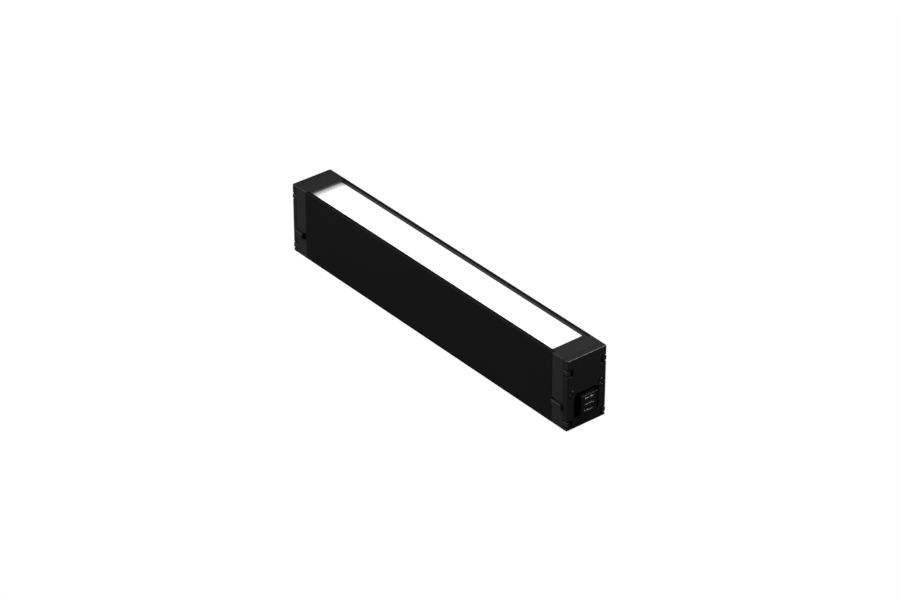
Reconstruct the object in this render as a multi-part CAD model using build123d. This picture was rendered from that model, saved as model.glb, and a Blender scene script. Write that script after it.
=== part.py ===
from build123d import *
import os

# Linkable linear LED light bar. X runs along the bar, Z is up through the lens, and the origin
# is the centre of the flat back. Both ends carry the same kit, turned half a turn about Z.

# Overall sizes
overall_length = 305.0  # between the outer faces of the two end covers
body_width = 34.3
body_height = 55.8
corner_radius = 0.5

# Housing extrusion
side_wall = 1.6
floor_thickness = 1.8
shelf_bottom = 38.4
shelf_thickness = 2.0
rim_thickness = 2.8
ledge_thickness = 1.5
guide_rib = 1.2
port_radius = 2.7
port_slit = 1.6

# Lens and optics
lens_recess = 2.7
lens_thickness = 2.0
lens_tongue = 0.85  # how far each edge of the lens sits inside its groove
lens_end_gap = 0.3
reflector_sheet = 0.5
reflector_foot = 2.3
led_board_length = 262.0
led_board_width = 18.0
led_board_thickness = 1.2
led_count = 30
led_length = 3.5
led_width = 2.8
led_height = 0.7
led_window_radius = 1.1
led_window_depth = 0.15
led_screw_places = (-114.0, -38.0, 38.0, 114.0)
led_screw_side = 5.6  # distance of the board screws from the centre line
led_screw_radius = 1.22
led_screw_head_radius = 2.1
led_screw_head_height = 1.4
led_screw_tip = 1.0

# End kit: collar, cover, socket and latches, measured inward from the outer face
cap_length = 16.2
cover_thickness = 4.2
collar_wall = 2.0
cover_edge_radius = 1.0
seam_groove_width = 0.4
seam_groove_depth = 0.6
lip_reach = 2.9
lip_thickness = 1.4
tongue_thickness = 1.6
tongue_reach = 6.0
tongue_width = 27.0
bridge_depth = 4.2
rib_width = 24.0
rib_depth = 1.6

# Snap hooks of the collar and their notches in the cover
hook_places = (45.9, 4.8)  # heights of the hook centres
hook_height = 3.4
hook_edge_radius = 0.4
hook_thickness = 1.8
hook_barb = 1.0
hook_setback = 0.3
notch_depth = 4.8
notch_height = 5.6
notch_pocket = 1.8
barb_gap = 0.2

# Cap screws
cap_screw_side = 12.85
cap_screw_height = 28.5
cap_screw_radius = 1.75
cap_screw_length = 26.8
cap_screw_head_radius = 3.1
cap_screw_head_height = 1.7
cap_screw_edge_radius = 0.5
counterbore_depth = 1.2
cross_slot_width = 0.8
cross_slot_length = 3.4
cross_slot_depth = 1.0
boss_radius = 3.0

# Link socket
block_width = 14.0
block_height = 15.8
block_bottom = 9.6
block_proud = 3.0
block_edge_radius = 0.4
pocket_side_gap = 3.8
pocket_top_gap = 2.2
pocket_bottom_gap = 0.6
pocket_top_radius = 4.0
pocket_bottom_radius = 1.0
socket_base = 2.2
socket_lap = 0.8  # how far the socket base reaches past the pocket
socket_side_wall = 1.6
socket_back_depth = 7.0
ear_margin = 3.1
slot_width = 8.9
slot_height = 1.8
slot_pitch = 4.7
slot_bottom_height = 13.2
blade_width = 8.4
blade_thickness = 0.8
blade_setback = 0.4
tail_width = 6.0
tail_length = 6.1

# Latch tabs
tab_height_above_back = 17.8
front_tab_length = 10.4
rear_tab_length = 8.2
tab_height = 4.0
tab_proud = 2.0
tab_end_radius = 0.7
tab_edge_radius = 0.5
tab_spare = 0.5  # extra length of the window at its inner end
tab_flange = 1.2
tab_flange_lap = 1.6
tab_flange_end = 0.6
window_gap = 1.0
window_end_gap = 0.3
spring_sheet = 0.3
spring_width = 4.0
spring_half_span = 3.3

# Driver
board_thickness = 1.6
board_height = 9.5  # underside of the driver board above the back
board_left = -90.0
board_right = 60.0
insulator_sheet = 0.4
insulator_overhang = 2.0
terminal_length = 9.0
terminal_width = 9.0
terminal_height = 8.0
terminal_chamfer = 1.0
terminal_end_gap = 1.5  # between a terminal and the end of the driver board
terminal_y = 3.0
terminal_wires = (1.2, 4.8)
terminal_mouth_height = 4.2
terminal_mouth_depth = 5.0
terminal_seat = 4.0  # how deep a lead stands in its mouth
fuse_place = (38.0, 10.0)
fuse_length = 9.0
fuse_radius = 1.9
fuse_cap_length = 2.2
fuse_cap_skin = 0.2
choke_place = (33.0, -3.6)
choke_outer_radius = 6.6
choke_inner_radius = 3.4
choke_height = 6.0
choke_winding = 0.7
choke_winding_gap = 4.0
film_capacitor_place = (18.5, 3.0)
film_capacitor_size = (6.0, 15.0, 12.0)
bridge_place = (8.0, 3.0)
bridge_size = (4.0, 14.0, 10.5)
bridge_chamfer = 2.0
bulk_capacitor_place = (-4.5, 3.0)
bulk_capacitor_radius = 6.25
bulk_capacitor_height = 21.0
output_capacitor_place = (-63.0, 3.0)
output_capacitor_radius = 4.0
output_capacitor_height = 13.0
case_edge_radius = 0.6
sink_place = (-20.0, 0.5)
sink_size = (1.6, 18.0, 21.0)
sink_fold = 5.2
transistor_y = 2.0
transistor_size = (4.4, 10.0, 14.0)
transistor_tag_size = (1.0, 10.0, 4.6)
transistor_leg_size = (0.6, 0.9, 4.4)
transistor_leg_pitch = 2.5
transistor_foot = 4.0  # underside of the package above the board
transformer_place = (-41.0, 1.0)
transformer_size = (22.0, 18.0, 17.0)
transformer_leg = 6.0
transformer_side_leg = 3.5
transformer_window_bottom = 3.9
transformer_window_height = 9.2
transformer_edge_radius = 0.4
coil_length = 14.8
coil_width = 21.0
coil_height = 9.0
coil_edge_radius = 2.0
coil_gap = 0.05

# Back fixings
mount_spacing = 200.0
insert_radius = 3.0
insert_flange_radius = 4.2
insert_flange_height = 1.4
insert_height = 9.0
insert_thread_radius = 1.65
insert_thread_depth = 7.5
earth_stud_x = 82.0
earth_stud_y = 9.0
earth_stud_radius = 2.0
earth_stud_head_radius = 3.2
earth_stud_head = 0.9
earth_stud_top = 9.0
earth_lug_sheet = 0.8
earth_lug_radius = 4.0
earth_neck_width = 3.0
earth_neck_length = 1.5
earth_neck_lap = 1.0
earth_barrel_length = 5.0
earth_barrel_radius = 1.6
earth_nut_radius = 4.0
earth_nut_height = 2.4

# Wires
main_wire_radius = 1.0
lead_radius = 0.8
dc_lead_radius = 0.6
wire_side = 1.6  # distance of a wire from the centre line at a contact tail
wire_lane = 13.3  # distance of the through wires from the centre line along the wall
wire_lane_low = 16.4
wire_lane_pitch = 2.6
wire_straight = 10.0
wire_swerve = 32.0
wire_bend = 45.0
lead_bend = 20.0
clip_places = (-60.0, 0.0, 60.0)
clip_length = 6.0
clip_skin = 0.9
dc_slot_x = -106.0
dc_slot_length = 4.4
dc_pair_y = (4.2, 6.6)
dc_lead_straight = 6.0
dc_lead_climb = 12.0
dc_lead_loop = 4.0
dc_lead_foot = 9.0
dc_lead_bend = 2.4

# Named clearances
slide_clearance = 0.15
fit_clearance = 0.1
press_clearance = 0.02
screw_clearance = 0.2
root_overlap = 1.0  # how far a grown feature starts inside its own body

# Derived places
half_width = body_width / 2
face_x = overall_length / 2
cover_back_x = face_x - cover_thickness
seam_x = face_x - cap_length
collar_inner = half_width - collar_wall
chamber_half = half_width - side_wall
shelf_top = shelf_bottom + shelf_thickness
rim_inner = half_width - rim_thickness
lens_top = body_height - lens_recess
lens_bottom = lens_top - lens_thickness
lens_half_width = rim_inner + lens_tongue
lens_half_length = seam_x - lens_end_gap
ledge_bottom = lens_bottom - fit_clearance - ledge_thickness
board_top = board_height + board_thickness
led_board_top = shelf_top + led_board_thickness
block_top = block_bottom + block_height
pocket_half = block_width / 2 + pocket_side_gap
pocket_top = block_top + pocket_top_gap
pocket_bottom = block_bottom - pocket_bottom_gap
socket_half = pocket_half + socket_lap
socket_bottom = pocket_bottom - 2 * socket_lap
socket_back_x = cover_back_x - socket_base
tail_end_x = socket_back_x - tail_length
slot_heights = [slot_bottom_height + slot_pitch * n for n in range(3)]
tab_flange_outer = collar_inner - slide_clearance
tab_flange_inner = tab_flange_outer - tab_flange
window_start = cover_back_x - tab_spare - front_tab_length - window_end_gap
lane_heights = [wire_lane_low + wire_lane_pitch * n for n in range(3)]
terminal_mouth_z = board_top + terminal_mouth_height
input_terminal_x = board_right - terminal_end_gap - terminal_length / 2
output_terminal_x = board_left + terminal_end_gap + terminal_length / 2
earth_lug_top = floor_thickness + earth_lug_sheet
earth_barrel_start = earth_stud_x + earth_lug_radius + earth_neck_length
earth_barrel_z = floor_thickness + earth_barrel_radius


def block(x_range, y_range, z_range):
    """A box between two corners, given as low and high values on each axis."""
    size = [high - low for low, high in (x_range, y_range, z_range)]
    middle = [(high + low) / 2 for low, high in (x_range, y_range, z_range)]
    return Pos(*middle) * Box(*size)


def rod(axis, start, length, radius):
    """A round bar from start, running length along +X, +Y or +Z."""
    turn = {"X": Rot(0, 90, 0), "Y": Rot(-90, 0, 0), "Z": Rot(0, 0, 0)}[axis]
    bottom = (Align.CENTER, Align.CENTER, Align.MIN)
    return Pos(*start) * turn * Cylinder(radius, length, align=bottom)


def bar_along_x(points, x_range):
    """A straight bar with the given outline in Y and Z."""
    low, high = x_range
    outline = Polyline(*[(low, y, z) for y, z in points], close=True)
    return extrude(make_face(outline), high - low, dir=(1, 0, 0))


def cable(points, radius, bend):
    """A round wire through the points, with the bends rounded."""
    path = FilletPolyline(*points, radius=bend)
    start = Plane(origin=path @ 0, z_dir=path % 0)
    return sweep(start * Circle(radius), path=path)


def other_end(shape):
    """The same piece on the left end, half a turn about Z away."""
    return Rot(0, 0, 180) * shape


# ---------------------------------------------------------------- housing and optics


def screw_port(side):
    """Slit tube on the side wall that the cap screw cuts its thread in."""
    y = side * cap_screw_side
    z = cap_screw_height
    tube = rod("X", (-seam_x, y, z), 2 * seam_x, port_radius)
    wall = sorted((y, side * chamber_half))
    web = block((-seam_x, seam_x), wall, (z - port_slit, z + port_slit))
    return tube + web


def screw_port_bore(side):
    y = side * cap_screw_side
    z = cap_screw_height
    bore = rod("X", (-seam_x, y, z), 2 * seam_x, cap_screw_radius + press_clearance)
    slit = sorted((y, y - side * (port_radius + root_overlap)))
    return bore + block((-seam_x, seam_x), slit, (z - port_slit / 2, z + port_slit / 2))


def make_housing():
    length = (-seam_x, seam_x)
    body = block(length, (-half_width, half_width), (0, body_height))
    body = fillet(body.edges().filter_by(Axis.X), corner_radius)
    body -= block(length, (-chamber_half, chamber_half), (floor_thickness, shelf_bottom))
    body -= block(length, (-chamber_half, chamber_half), (shelf_top, ledge_bottom))
    body -= block(length, (-rim_inner, rim_inner), (ledge_bottom, body_height))
    groove = lens_half_width + fit_clearance
    body -= block(length, (-groove, groove), (lens_bottom - fit_clearance, lens_top + fit_clearance))
    for side in (-1, 1):
        wall = sorted((side * chamber_half, side * (chamber_half - guide_rib)))
        low_rib = board_height - fit_clearance
        high_rib = board_top + fit_clearance
        body += block(length, wall, (low_rib - guide_rib, low_rib))
        body += block(length, wall, (high_rib, high_rib + guide_rib))
        body += screw_port(side)
        body -= screw_port_bore(side)
        insert_x = side * mount_spacing / 2
        body -= rod("Z", (insert_x, 0, 0), floor_thickness, insert_radius + press_clearance)
    for x in led_screw_places:
        hole = led_screw_radius + press_clearance
        body -= rod("Z", (x, led_screw_side, shelf_bottom), shelf_thickness, hole)
    stud = (earth_stud_x, earth_stud_y, 0)
    body -= rod("Z", stud, floor_thickness, earth_stud_radius + press_clearance)
    body -= rod("Z", stud, earth_stud_head, earth_stud_head_radius + press_clearance)
    return body - lead_slot(shelf_bottom, shelf_thickness)


def lead_slot(height, thickness):
    """Opening that the two LED leads rise through."""
    x_range = (dc_slot_x - dc_slot_length / 2, dc_slot_x + dc_slot_length / 2)
    y_range = (dc_pair_y[0] - 2 * dc_lead_radius, dc_pair_y[1] + 2 * dc_lead_radius)
    return block(x_range, y_range, (height, height + thickness))


def make_lens():
    edges = (-lens_half_width, lens_half_width)
    return block((-lens_half_length, lens_half_length), edges, (lens_bottom, lens_top))


def make_reflector():
    inner = led_board_width / 2 + fit_clearance
    outer = inner + reflector_foot
    top = lens_bottom - fit_clearance
    lean = rim_inner - fit_clearance
    ends = (-lens_half_length, lens_half_length)
    floor = shelf_top + reflector_sheet
    tray = None
    for side in (-1, 1):
        points = [
            (side * inner, shelf_top),
            (side * outer, shelf_top),
            (side * lean, top),
            (side * (lean - reflector_sheet), top),
            (side * (outer - reflector_sheet), floor),
            (side * inner, floor),
        ]
        flank = bar_along_x(points, ends)
        tray = flank if tray is None else tray + flank
    wall = [(-outer, shelf_top), (outer, shelf_top), (lean, top), (-lean, top)]
    for x in (-lens_half_length, lens_half_length - reflector_sheet):
        tray += bar_along_x(wall, (x, x + reflector_sheet))
    return tray


def make_led_board():
    half_length = led_board_length / 2
    half_board = led_board_width / 2
    board = block((-half_length, half_length), (-half_board, half_board), (shelf_top, led_board_top))
    for x in led_screw_places:
        hole = led_screw_radius + screw_clearance
        board -= rod("Z", (x, led_screw_side, shelf_top), led_board_thickness, hole)
    return board - lead_slot(shelf_top, led_board_thickness)


def make_led_chips():
    pitch = led_board_length / led_count
    bottom = (Align.CENTER, Align.CENTER, Align.MIN)
    package = Box(led_length, led_width, led_height, align=bottom)
    package -= Pos(0, 0, led_height - led_window_depth) * Cylinder(
        led_window_radius, led_window_depth, align=bottom
    )
    first = -pitch * (led_count - 1) / 2
    return Compound([Pos(first + pitch * n, 0, led_board_top) * package for n in range(led_count)])


def make_led_board_screws():
    shank_length = led_board_thickness + shelf_thickness + led_screw_tip
    screws = []
    for x in led_screw_places:
        foot = (x, led_screw_side, led_board_top - shank_length)
        shank = rod("Z", foot, shank_length, led_screw_radius)
        head = rod("Z", (x, led_screw_side, led_board_top), led_screw_head_height, led_screw_head_radius)
        head = fillet(head.edges().sort_by(Axis.Z)[-1], led_screw_head_height / 2)
        screws.append(shank + head)
    return Compound(screws)


# ---------------------------------------------------------------- end kit, drawn on the right end


def seam_groove(start):
    """Shadow groove round the outside of the collar."""
    length = (start, start + seam_groove_width)
    inner = half_width - seam_groove_depth
    core = block(length, (-inner, inner), (seam_groove_depth, body_height - seam_groove_depth))
    return block(length, (-half_width, half_width), (0, body_height)) - core


def make_collar():
    length = (seam_x, cover_back_x)
    ring = block(length, (-half_width, half_width), (0, body_height))
    ring = fillet(ring.edges().filter_by(Axis.X), corner_radius)
    ring -= seam_groove(seam_x)
    ring -= seam_groove(cover_back_x - seam_groove_width)
    hollow = (collar_wall, body_height - collar_wall)
    ring -= block(length, (-collar_inner, collar_inner), hollow)
    for side in (-1, 1):
        ring = add_screw_boss(ring, side)
        window = sorted((side * collar_inner, side * half_width))
        half = tab_height / 2 + window_gap
        heights = (tab_height_above_back - half, tab_height_above_back + half)
        ring -= block((window_start, cover_back_x), window, heights)
        for height in hook_places:
            ring += snap_hook(side, height)
    return ring + collar_lip() + collar_tongues()


def add_screw_boss(ring, side):
    """Column between the socket's ear and the housing, bored for the cap screw."""
    y = side * cap_screw_side
    z = cap_screw_height
    column_length = socket_back_x - seam_x
    ring += rod("X", (seam_x, y, z), column_length, boss_radius)
    wall = sorted((y, side * (collar_inner + fit_clearance)))
    ring += block((seam_x, socket_back_x), wall, (z - boss_radius, z + boss_radius))
    return ring - rod("X", (seam_x, y, z), column_length, cap_screw_radius + screw_clearance)


def snap_hook(side, height):
    """Flat tongue that stands in the cover's notch, with a barb over the notch's ledge."""
    heights = (height - hook_height / 2, height + hook_height / 2)
    tip_x = face_x - hook_setback
    inner = half_width - hook_thickness
    root_x = cover_back_x - root_overlap
    shank = block((root_x, tip_x), sorted((side * inner, side * half_width)), heights)
    outer = shank.faces().sort_by(Axis.Y)[-1 if side > 0 else 0]
    shank = fillet(outer.edges().filter_by(Axis.X), hook_edge_radius)
    barb_back = face_x - notch_pocket + barb_gap
    barb = sorted((side * (inner - hook_barb), side * (inner + fit_clearance)))
    return shank + block((barb_back, tip_x), barb, heights)


def collar_lip():
    """Thin lip of the top wall over the end of the lens."""
    reach = (seam_x - lip_reach, seam_x + root_overlap)
    edge = rim_inner - fit_clearance
    return block(reach, (-edge, edge), (body_height - lip_thickness, body_height))


def collar_tongues():
    """Two tongues that locate the collar inside the housing, and the bridge that the top one is on."""
    half = tongue_width / 2
    reach = (seam_x - tongue_reach, seam_x + bridge_depth)
    low = floor_thickness + slide_clearance
    high = shelf_bottom - slide_clearance
    lower = block(reach, (-half, half), (low, low + tongue_thickness))
    upper = block(reach, (-half, half), (high - tongue_thickness, high))
    across = (-collar_inner, collar_inner)
    bridge = block((seam_x, seam_x + bridge_depth), across, (high - tongue_thickness, high))
    return lower + upper + bridge


def make_cover():
    plate = block((cover_back_x, face_x), (-half_width, half_width), (0, body_height))
    plate = fillet(plate.edges().filter_by(Axis.X), corner_radius)
    plate = fillet(plate.faces().sort_by(Axis.X)[-1].edges(), cover_edge_radius)
    plate -= pocket_opening()
    for side in (-1, 1):
        y = side * cap_screw_side
        z = cap_screw_height
        plate -= rod("X", (cover_back_x, y, z), cover_thickness, cap_screw_radius + screw_clearance)
        bore_x = face_x - counterbore_depth
        plate -= rod("X", (bore_x, y, z), counterbore_depth, cap_screw_head_radius + screw_clearance)
        for height in hook_places:
            plate -= notch(side, height)
    rib = (-rib_width / 2, rib_width / 2)
    depth = (cover_back_x - rib_depth, cover_back_x)
    low = collar_wall + slide_clearance
    high = body_height - collar_wall - slide_clearance
    plate += block(depth, rib, (low, low + rib_depth))
    return plate + block(depth, rib, (high - rib_depth, high))


def pocket_opening():
    """The opening that a mating plug's shell enters round the block. Its top corners are large."""
    cut = block((cover_back_x, face_x), (-pocket_half, pocket_half), (pocket_bottom, pocket_top))
    corners = cut.edges().filter_by(Axis.X).sort_by(Axis.Z)
    cut = fillet(corners[2:], pocket_top_radius)
    corners = cut.edges().filter_by(Axis.X).sort_by(Axis.Z)
    return fillet(corners[:2], pocket_bottom_radius)


def notch(side, height):
    """Pocket for the hook's barb at the face, and a slot for its shank behind."""
    heights = (height - notch_height / 2, height + notch_height / 2)
    mouth = sorted((side * (half_width - notch_depth), side * half_width))
    pocket = block((face_x - notch_pocket, face_x), mouth, heights)
    shank = sorted((side * (half_width - hook_thickness - slide_clearance), side * half_width))
    return pocket + block((cover_back_x, face_x), shank, heights)


def make_socket():
    ear_bottom = cap_screw_height - ear_margin
    ear_top = cap_screw_height + ear_margin
    depth = (socket_back_x, cover_back_x)
    body = block(depth, (-socket_half, socket_half), (socket_bottom, ear_top))
    ear = collar_inner - slide_clearance
    body += block(depth, (-ear, ear), (ear_bottom, ear_top))
    half = block_width / 2
    nose = block((socket_back_x, face_x + block_proud), (-half, half), (block_bottom, block_top))
    nose = fillet(nose.faces().sort_by(Axis.X)[-1].edges(), block_edge_radius)
    body += nose
    back = (socket_back_x - socket_back_depth, socket_back_x)
    wall_top = slot_heights[-1] + slot_height / 2 + fit_clearance
    for side in (-1, 1):
        wall = sorted((side * socket_half, side * (socket_half - socket_side_wall)))
        body += block(back, wall, (socket_bottom, wall_top))
        start = (socket_back_x, side * cap_screw_side, cap_screw_height)
        body -= rod("X", start, socket_base, cap_screw_radius + screw_clearance)
    body += block(back, (-socket_half, socket_half), (socket_bottom, socket_bottom + socket_side_wall))
    for height in slot_heights:
        body -= contact_slot(height)
    return body


def contact_slot(height):
    """Open slot at the nose, tight round the blade where the blade crosses the base."""
    half = slot_width / 2
    open_height = (height - slot_height / 2, height + slot_height / 2)
    mouth = block((cover_back_x, face_x + block_proud), (-half, half), open_height)
    half = blade_width / 2 + press_clearance
    grip = blade_thickness / 2 + press_clearance
    return mouth + block((socket_back_x, cover_back_x), (-half, half), (height - grip, height + grip))


def make_contacts():
    tip_x = face_x + block_proud - blade_setback
    blades = []
    for height in slot_heights:
        heights = (height - blade_thickness / 2, height + blade_thickness / 2)
        blade = block((socket_back_x, tip_x), (-blade_width / 2, blade_width / 2), heights)
        tail = block((tail_end_x, socket_back_x), (-tail_width / 2, tail_width / 2), heights)
        blades.append(blade + tail)
    return Compound(blades)


def make_cap_screws():
    seat_x = face_x - counterbore_depth
    screws = []
    for side in (-1, 1):
        y = side * cap_screw_side
        z = cap_screw_height
        head = rod("X", (seat_x, y, z), cap_screw_head_height, cap_screw_head_radius)
        head = fillet(head.edges().sort_by(Axis.X)[-1], cap_screw_edge_radius)
        top_x = seat_x + cap_screw_head_height
        depth = (top_x - cross_slot_depth, top_x)
        wide = cross_slot_width / 2
        long = cross_slot_length / 2
        head -= block(depth, (y - wide, y + wide), (z - long, z + long))
        head -= block(depth, (y - long, y + long), (z - wide, z + wide))
        shank = rod("X", (seat_x - cap_screw_length, y, z), cap_screw_length, cap_screw_radius)
        screws.append(head + shank)
    return Compound(screws)


def make_latch(side):
    """Tab that stands out of the collar's window, on a flange that stops it from falling out."""
    tab_length = front_tab_length if side < 0 else rear_tab_length
    tab_end = cover_back_x - window_end_gap
    start = tab_end - tab_length
    length = (start, tab_end)
    half = tab_height / 2
    heights = (tab_height_above_back - half, tab_height_above_back + half)
    bar = block(length, sorted((side * tab_flange_outer, side * (half_width + tab_proud))), heights)
    outer = bar.faces().sort_by(Axis.Y)[-1 if side > 0 else 0]
    bar = fillet(outer.edges().filter_by(Axis.Z), tab_end_radius)
    outer = bar.faces().sort_by(Axis.Y)[-1 if side > 0 else 0]
    bar = fillet(outer.edges().filter_by(Axis.X), tab_edge_radius)
    flange_half = half + tab_flange_lap
    flange = block(
        (start - tab_flange_end, cover_back_x - slide_clearance),
        sorted((side * tab_flange_inner, side * tab_flange_outer)),
        (tab_height_above_back - flange_half, tab_height_above_back + flange_half),
    )
    return bar + flange


def make_latch_spring(side):
    """Bowed leaf spring between the tab's flange and the socket's side wall."""
    centre_x = socket_back_x - socket_back_depth / 2
    rest = side * tab_flange_inner
    seat = side * socket_half
    low = tab_height_above_back - spring_width / 2
    sheet = side * spring_sheet
    left_x = centre_x - spring_half_span
    right_x = centre_x + spring_half_span
    inner_left = (left_x, rest - sheet, low)
    inner_right = (right_x, rest - sheet, low)
    inner = ThreePointArc(inner_left, (centre_x, seat, low), inner_right)
    outer = ThreePointArc((left_x, rest, low), (centre_x, seat + sheet, low), (right_x, rest, low))
    left = Line(inner_left, (left_x, rest, low))
    right = Line(inner_right, (right_x, rest, low))
    return extrude(make_face([inner, right, outer, left]), spring_width, dir=(0, 0, 1))


# ---------------------------------------------------------------- driver


def make_driver_board():
    half = chamber_half - slide_clearance
    return block((board_left, board_right), (-half, half), (board_height, board_top))


def make_driver_insulator():
    half = chamber_half - 2 * slide_clearance
    length = (board_left - insulator_overhang, board_right + insulator_overhang)
    return block(length, (-half, half), (floor_thickness, floor_thickness + insulator_sheet))


def on_board(place, size, lift=0.0):
    """A box above the driver board, centred at the given X and Y."""
    bottom = (Align.CENTER, Align.CENTER, Align.MIN)
    return Pos(*place, board_top + lift) * Box(*size, align=bottom)


def make_terminal(x, wire_direction):
    """Two-pole push-in terminal with its wire mouths facing along X."""
    body = on_board((x, terminal_y), (terminal_length, terminal_width, terminal_height))
    top_edges = body.edges().filter_by(Axis.Y).sort_by(Axis.Z)[2:]
    body = chamfer(top_edges, terminal_chamfer)
    face = x + wire_direction * terminal_length / 2
    start = min(face, face - wire_direction * terminal_mouth_depth)
    for y in terminal_wires:
        mouth = (start, y, terminal_mouth_z)
        body -= rod("X", mouth, terminal_mouth_depth, lead_radius + fit_clearance)
    return body


def make_line_fuse():
    x, y = fuse_place
    z = board_top + fuse_radius + fuse_cap_skin
    left = x - fuse_length / 2
    fuse = rod("X", (left, y, z), fuse_length, fuse_radius)
    for cap_x in (left, left + fuse_length - fuse_cap_length):
        fuse += rod("X", (cap_x, y, z), fuse_cap_length, fuse_radius + fuse_cap_skin)
    return fuse


def make_filter_choke():
    """Ring core lying flat, with a wound band on each half."""
    x, y = choke_place
    core_foot = (x, y, board_top + choke_winding)
    ring = rod("Z", core_foot, choke_height, choke_outer_radius)
    ring -= rod("Z", core_foot, choke_height, choke_inner_radius)
    foot = (x, y, board_top)
    wound_height = choke_height + 2 * choke_winding
    wound_radius = choke_outer_radius + choke_winding
    wound = rod("Z", foot, wound_height, wound_radius)
    wound -= rod("Z", foot, wound_height, choke_inner_radius - choke_winding)
    wound -= on_board(choke_place, (choke_winding_gap, 2 * wound_radius, wound_height))
    return ring + wound


def make_film_capacitor():
    body = on_board(film_capacitor_place, film_capacitor_size)
    return fillet(body.edges().filter_by(Axis.Z), case_edge_radius)


def make_bridge_rectifier():
    body = on_board(bridge_place, bridge_size)
    return chamfer(body.edges().filter_by(Axis.X).sort_by(Axis.Y)[-1], bridge_chamfer)


def make_can_capacitor(place, radius, height):
    can = rod("Z", (*place, board_top), height, radius)
    return fillet(can.edges(), case_edge_radius)


def make_heat_sink():
    """Aluminium plate that stands on the board, folded over at the top."""
    x, y = sink_place
    thickness, width, height = sink_size
    plate = on_board(sink_place, sink_size)
    fold_x = x + thickness / 2 - sink_fold / 2
    return plate + on_board((fold_x, y), (sink_fold, width, thickness), height - thickness)


def make_switch_transistor():
    """Flat package on three legs, with its metal tag against the heat sink."""
    back_x = sink_place[0] + sink_size[0] / 2
    body_x = back_x + transistor_size[0] / 2
    tag_x = back_x + transistor_tag_size[0] / 2
    tag_lift = transistor_foot + transistor_size[2] - transistor_tag_size[2] + root_overlap
    body = on_board((body_x, transistor_y), transistor_size, transistor_foot)
    body += on_board((tag_x, transistor_y), transistor_tag_size, tag_lift)
    for n in (-1, 0, 1):
        body += on_board((body_x, transistor_y + transistor_leg_pitch * n), transistor_leg_size)
    return body


def make_transformer_core():
    length, width, height = transformer_size
    core = on_board(transformer_place, transformer_size)
    window_length = (length - transformer_leg) / 2 - transformer_side_leg
    window_x = transformer_leg / 2 + window_length / 2
    for side in (-1, 1):
        place = (transformer_place[0] + side * window_x, transformer_place[1])
        core -= on_board(place, (window_length, width, transformer_window_height), transformer_window_bottom)
    return fillet(core.edges().filter_by(Axis.Z), transformer_edge_radius)


def make_transformer_coil():
    """Winding round the middle leg of the core."""
    lift = transformer_window_bottom + (transformer_window_height - coil_height) / 2
    coil = on_board(transformer_place, (coil_length, coil_width, coil_height), lift)
    coil = fillet(coil.edges().filter_by(Axis.Z), coil_edge_radius)
    leg = (transformer_leg + 2 * coil_gap, transformer_size[1] + 2 * coil_gap, coil_height)
    return coil - on_board(transformer_place, leg, lift)


# ---------------------------------------------------------------- fixings, wires


def make_mounting_inserts():
    """Closed clinch nuts, flush with the back, for two screws."""
    inserts = []
    for side in (-1, 1):
        foot = (side * mount_spacing / 2, 0, 0)
        body = rod("Z", foot, insert_height, insert_radius)
        seat = (foot[0], foot[1], floor_thickness)
        body += rod("Z", seat, insert_flange_height, insert_flange_radius)
        body -= rod("Z", foot, insert_thread_depth, insert_thread_radius)
        inserts.append(body)
    return Compound(inserts)


def make_earth_stud():
    foot = (earth_stud_x, earth_stud_y, 0)
    head = rod("Z", foot, earth_stud_head, earth_stud_head_radius)
    return head + rod("Z", foot, earth_stud_top, earth_stud_radius)


def make_earth_lug():
    """Ring terminal with a crimped barrel."""
    foot = (earth_stud_x, earth_stud_y, floor_thickness)
    ring = rod("Z", foot, earth_lug_sheet, earth_lug_radius)
    half = earth_neck_width / 2
    reach = (earth_stud_x, earth_barrel_start + earth_neck_lap)
    neck = block(reach, (earth_stud_y - half, earth_stud_y + half), (floor_thickness, earth_lug_top))
    barrel_foot = (earth_barrel_start, earth_stud_y, earth_barrel_z)
    barrel = rod("X", barrel_foot, earth_barrel_length, earth_barrel_radius)
    lug = ring + neck + barrel
    return lug - rod("Z", foot, earth_lug_sheet, earth_stud_radius + fit_clearance)


def make_earth_nut():
    hexagon = RegularPolygon(earth_nut_radius, 6)
    nut = extrude(Pos(earth_stud_x, earth_stud_y, earth_lug_top) * hexagon, earth_nut_height)
    foot = (earth_stud_x, earth_stud_y, earth_lug_top)
    return nut - rod("Z", foot, earth_nut_height, earth_stud_radius + press_clearance)


def make_through_wire(index):
    """One pole's wire, from the left contact tail to the right one, along the front wall."""
    pole = slot_heights[index]
    lane = lane_heights[index]
    turn_x = tail_end_x - wire_straight
    lane_x = turn_x - wire_swerve
    points = [
        (tail_end_x, -wire_side, pole),
        (turn_x, -wire_side, pole),
        (lane_x, -wire_lane, lane),
        (-lane_x, -wire_lane, lane),
        (-turn_x, -wire_side, pole),
        (-tail_end_x, -wire_side, pole),
    ]
    return cable(points, main_wire_radius, wire_bend)


def make_driver_lead(index, mouth_y):
    """Lead from a right contact tail to the driver's input terminal."""
    pole = slot_heights[index]
    mouth_x = input_terminal_x + terminal_length / 2
    points = [
        (tail_end_x, wire_side, pole),
        (tail_end_x - wire_straight, wire_side, pole),
        (mouth_x + wire_straight, mouth_y, terminal_mouth_z),
        (mouth_x - terminal_seat, mouth_y, terminal_mouth_z),
    ]
    return cable(points, lead_radius, lead_bend)


def make_earth_lead():
    pole = slot_heights[1]
    barrel_end = earth_barrel_start + earth_barrel_length
    points = [
        (tail_end_x, wire_side, pole),
        (tail_end_x - wire_straight, wire_side, pole),
        (barrel_end + wire_straight, earth_stud_y, earth_barrel_z),
        (barrel_end, earth_stud_y, earth_barrel_z),
    ]
    return cable(points, lead_radius, lead_bend)


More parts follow.
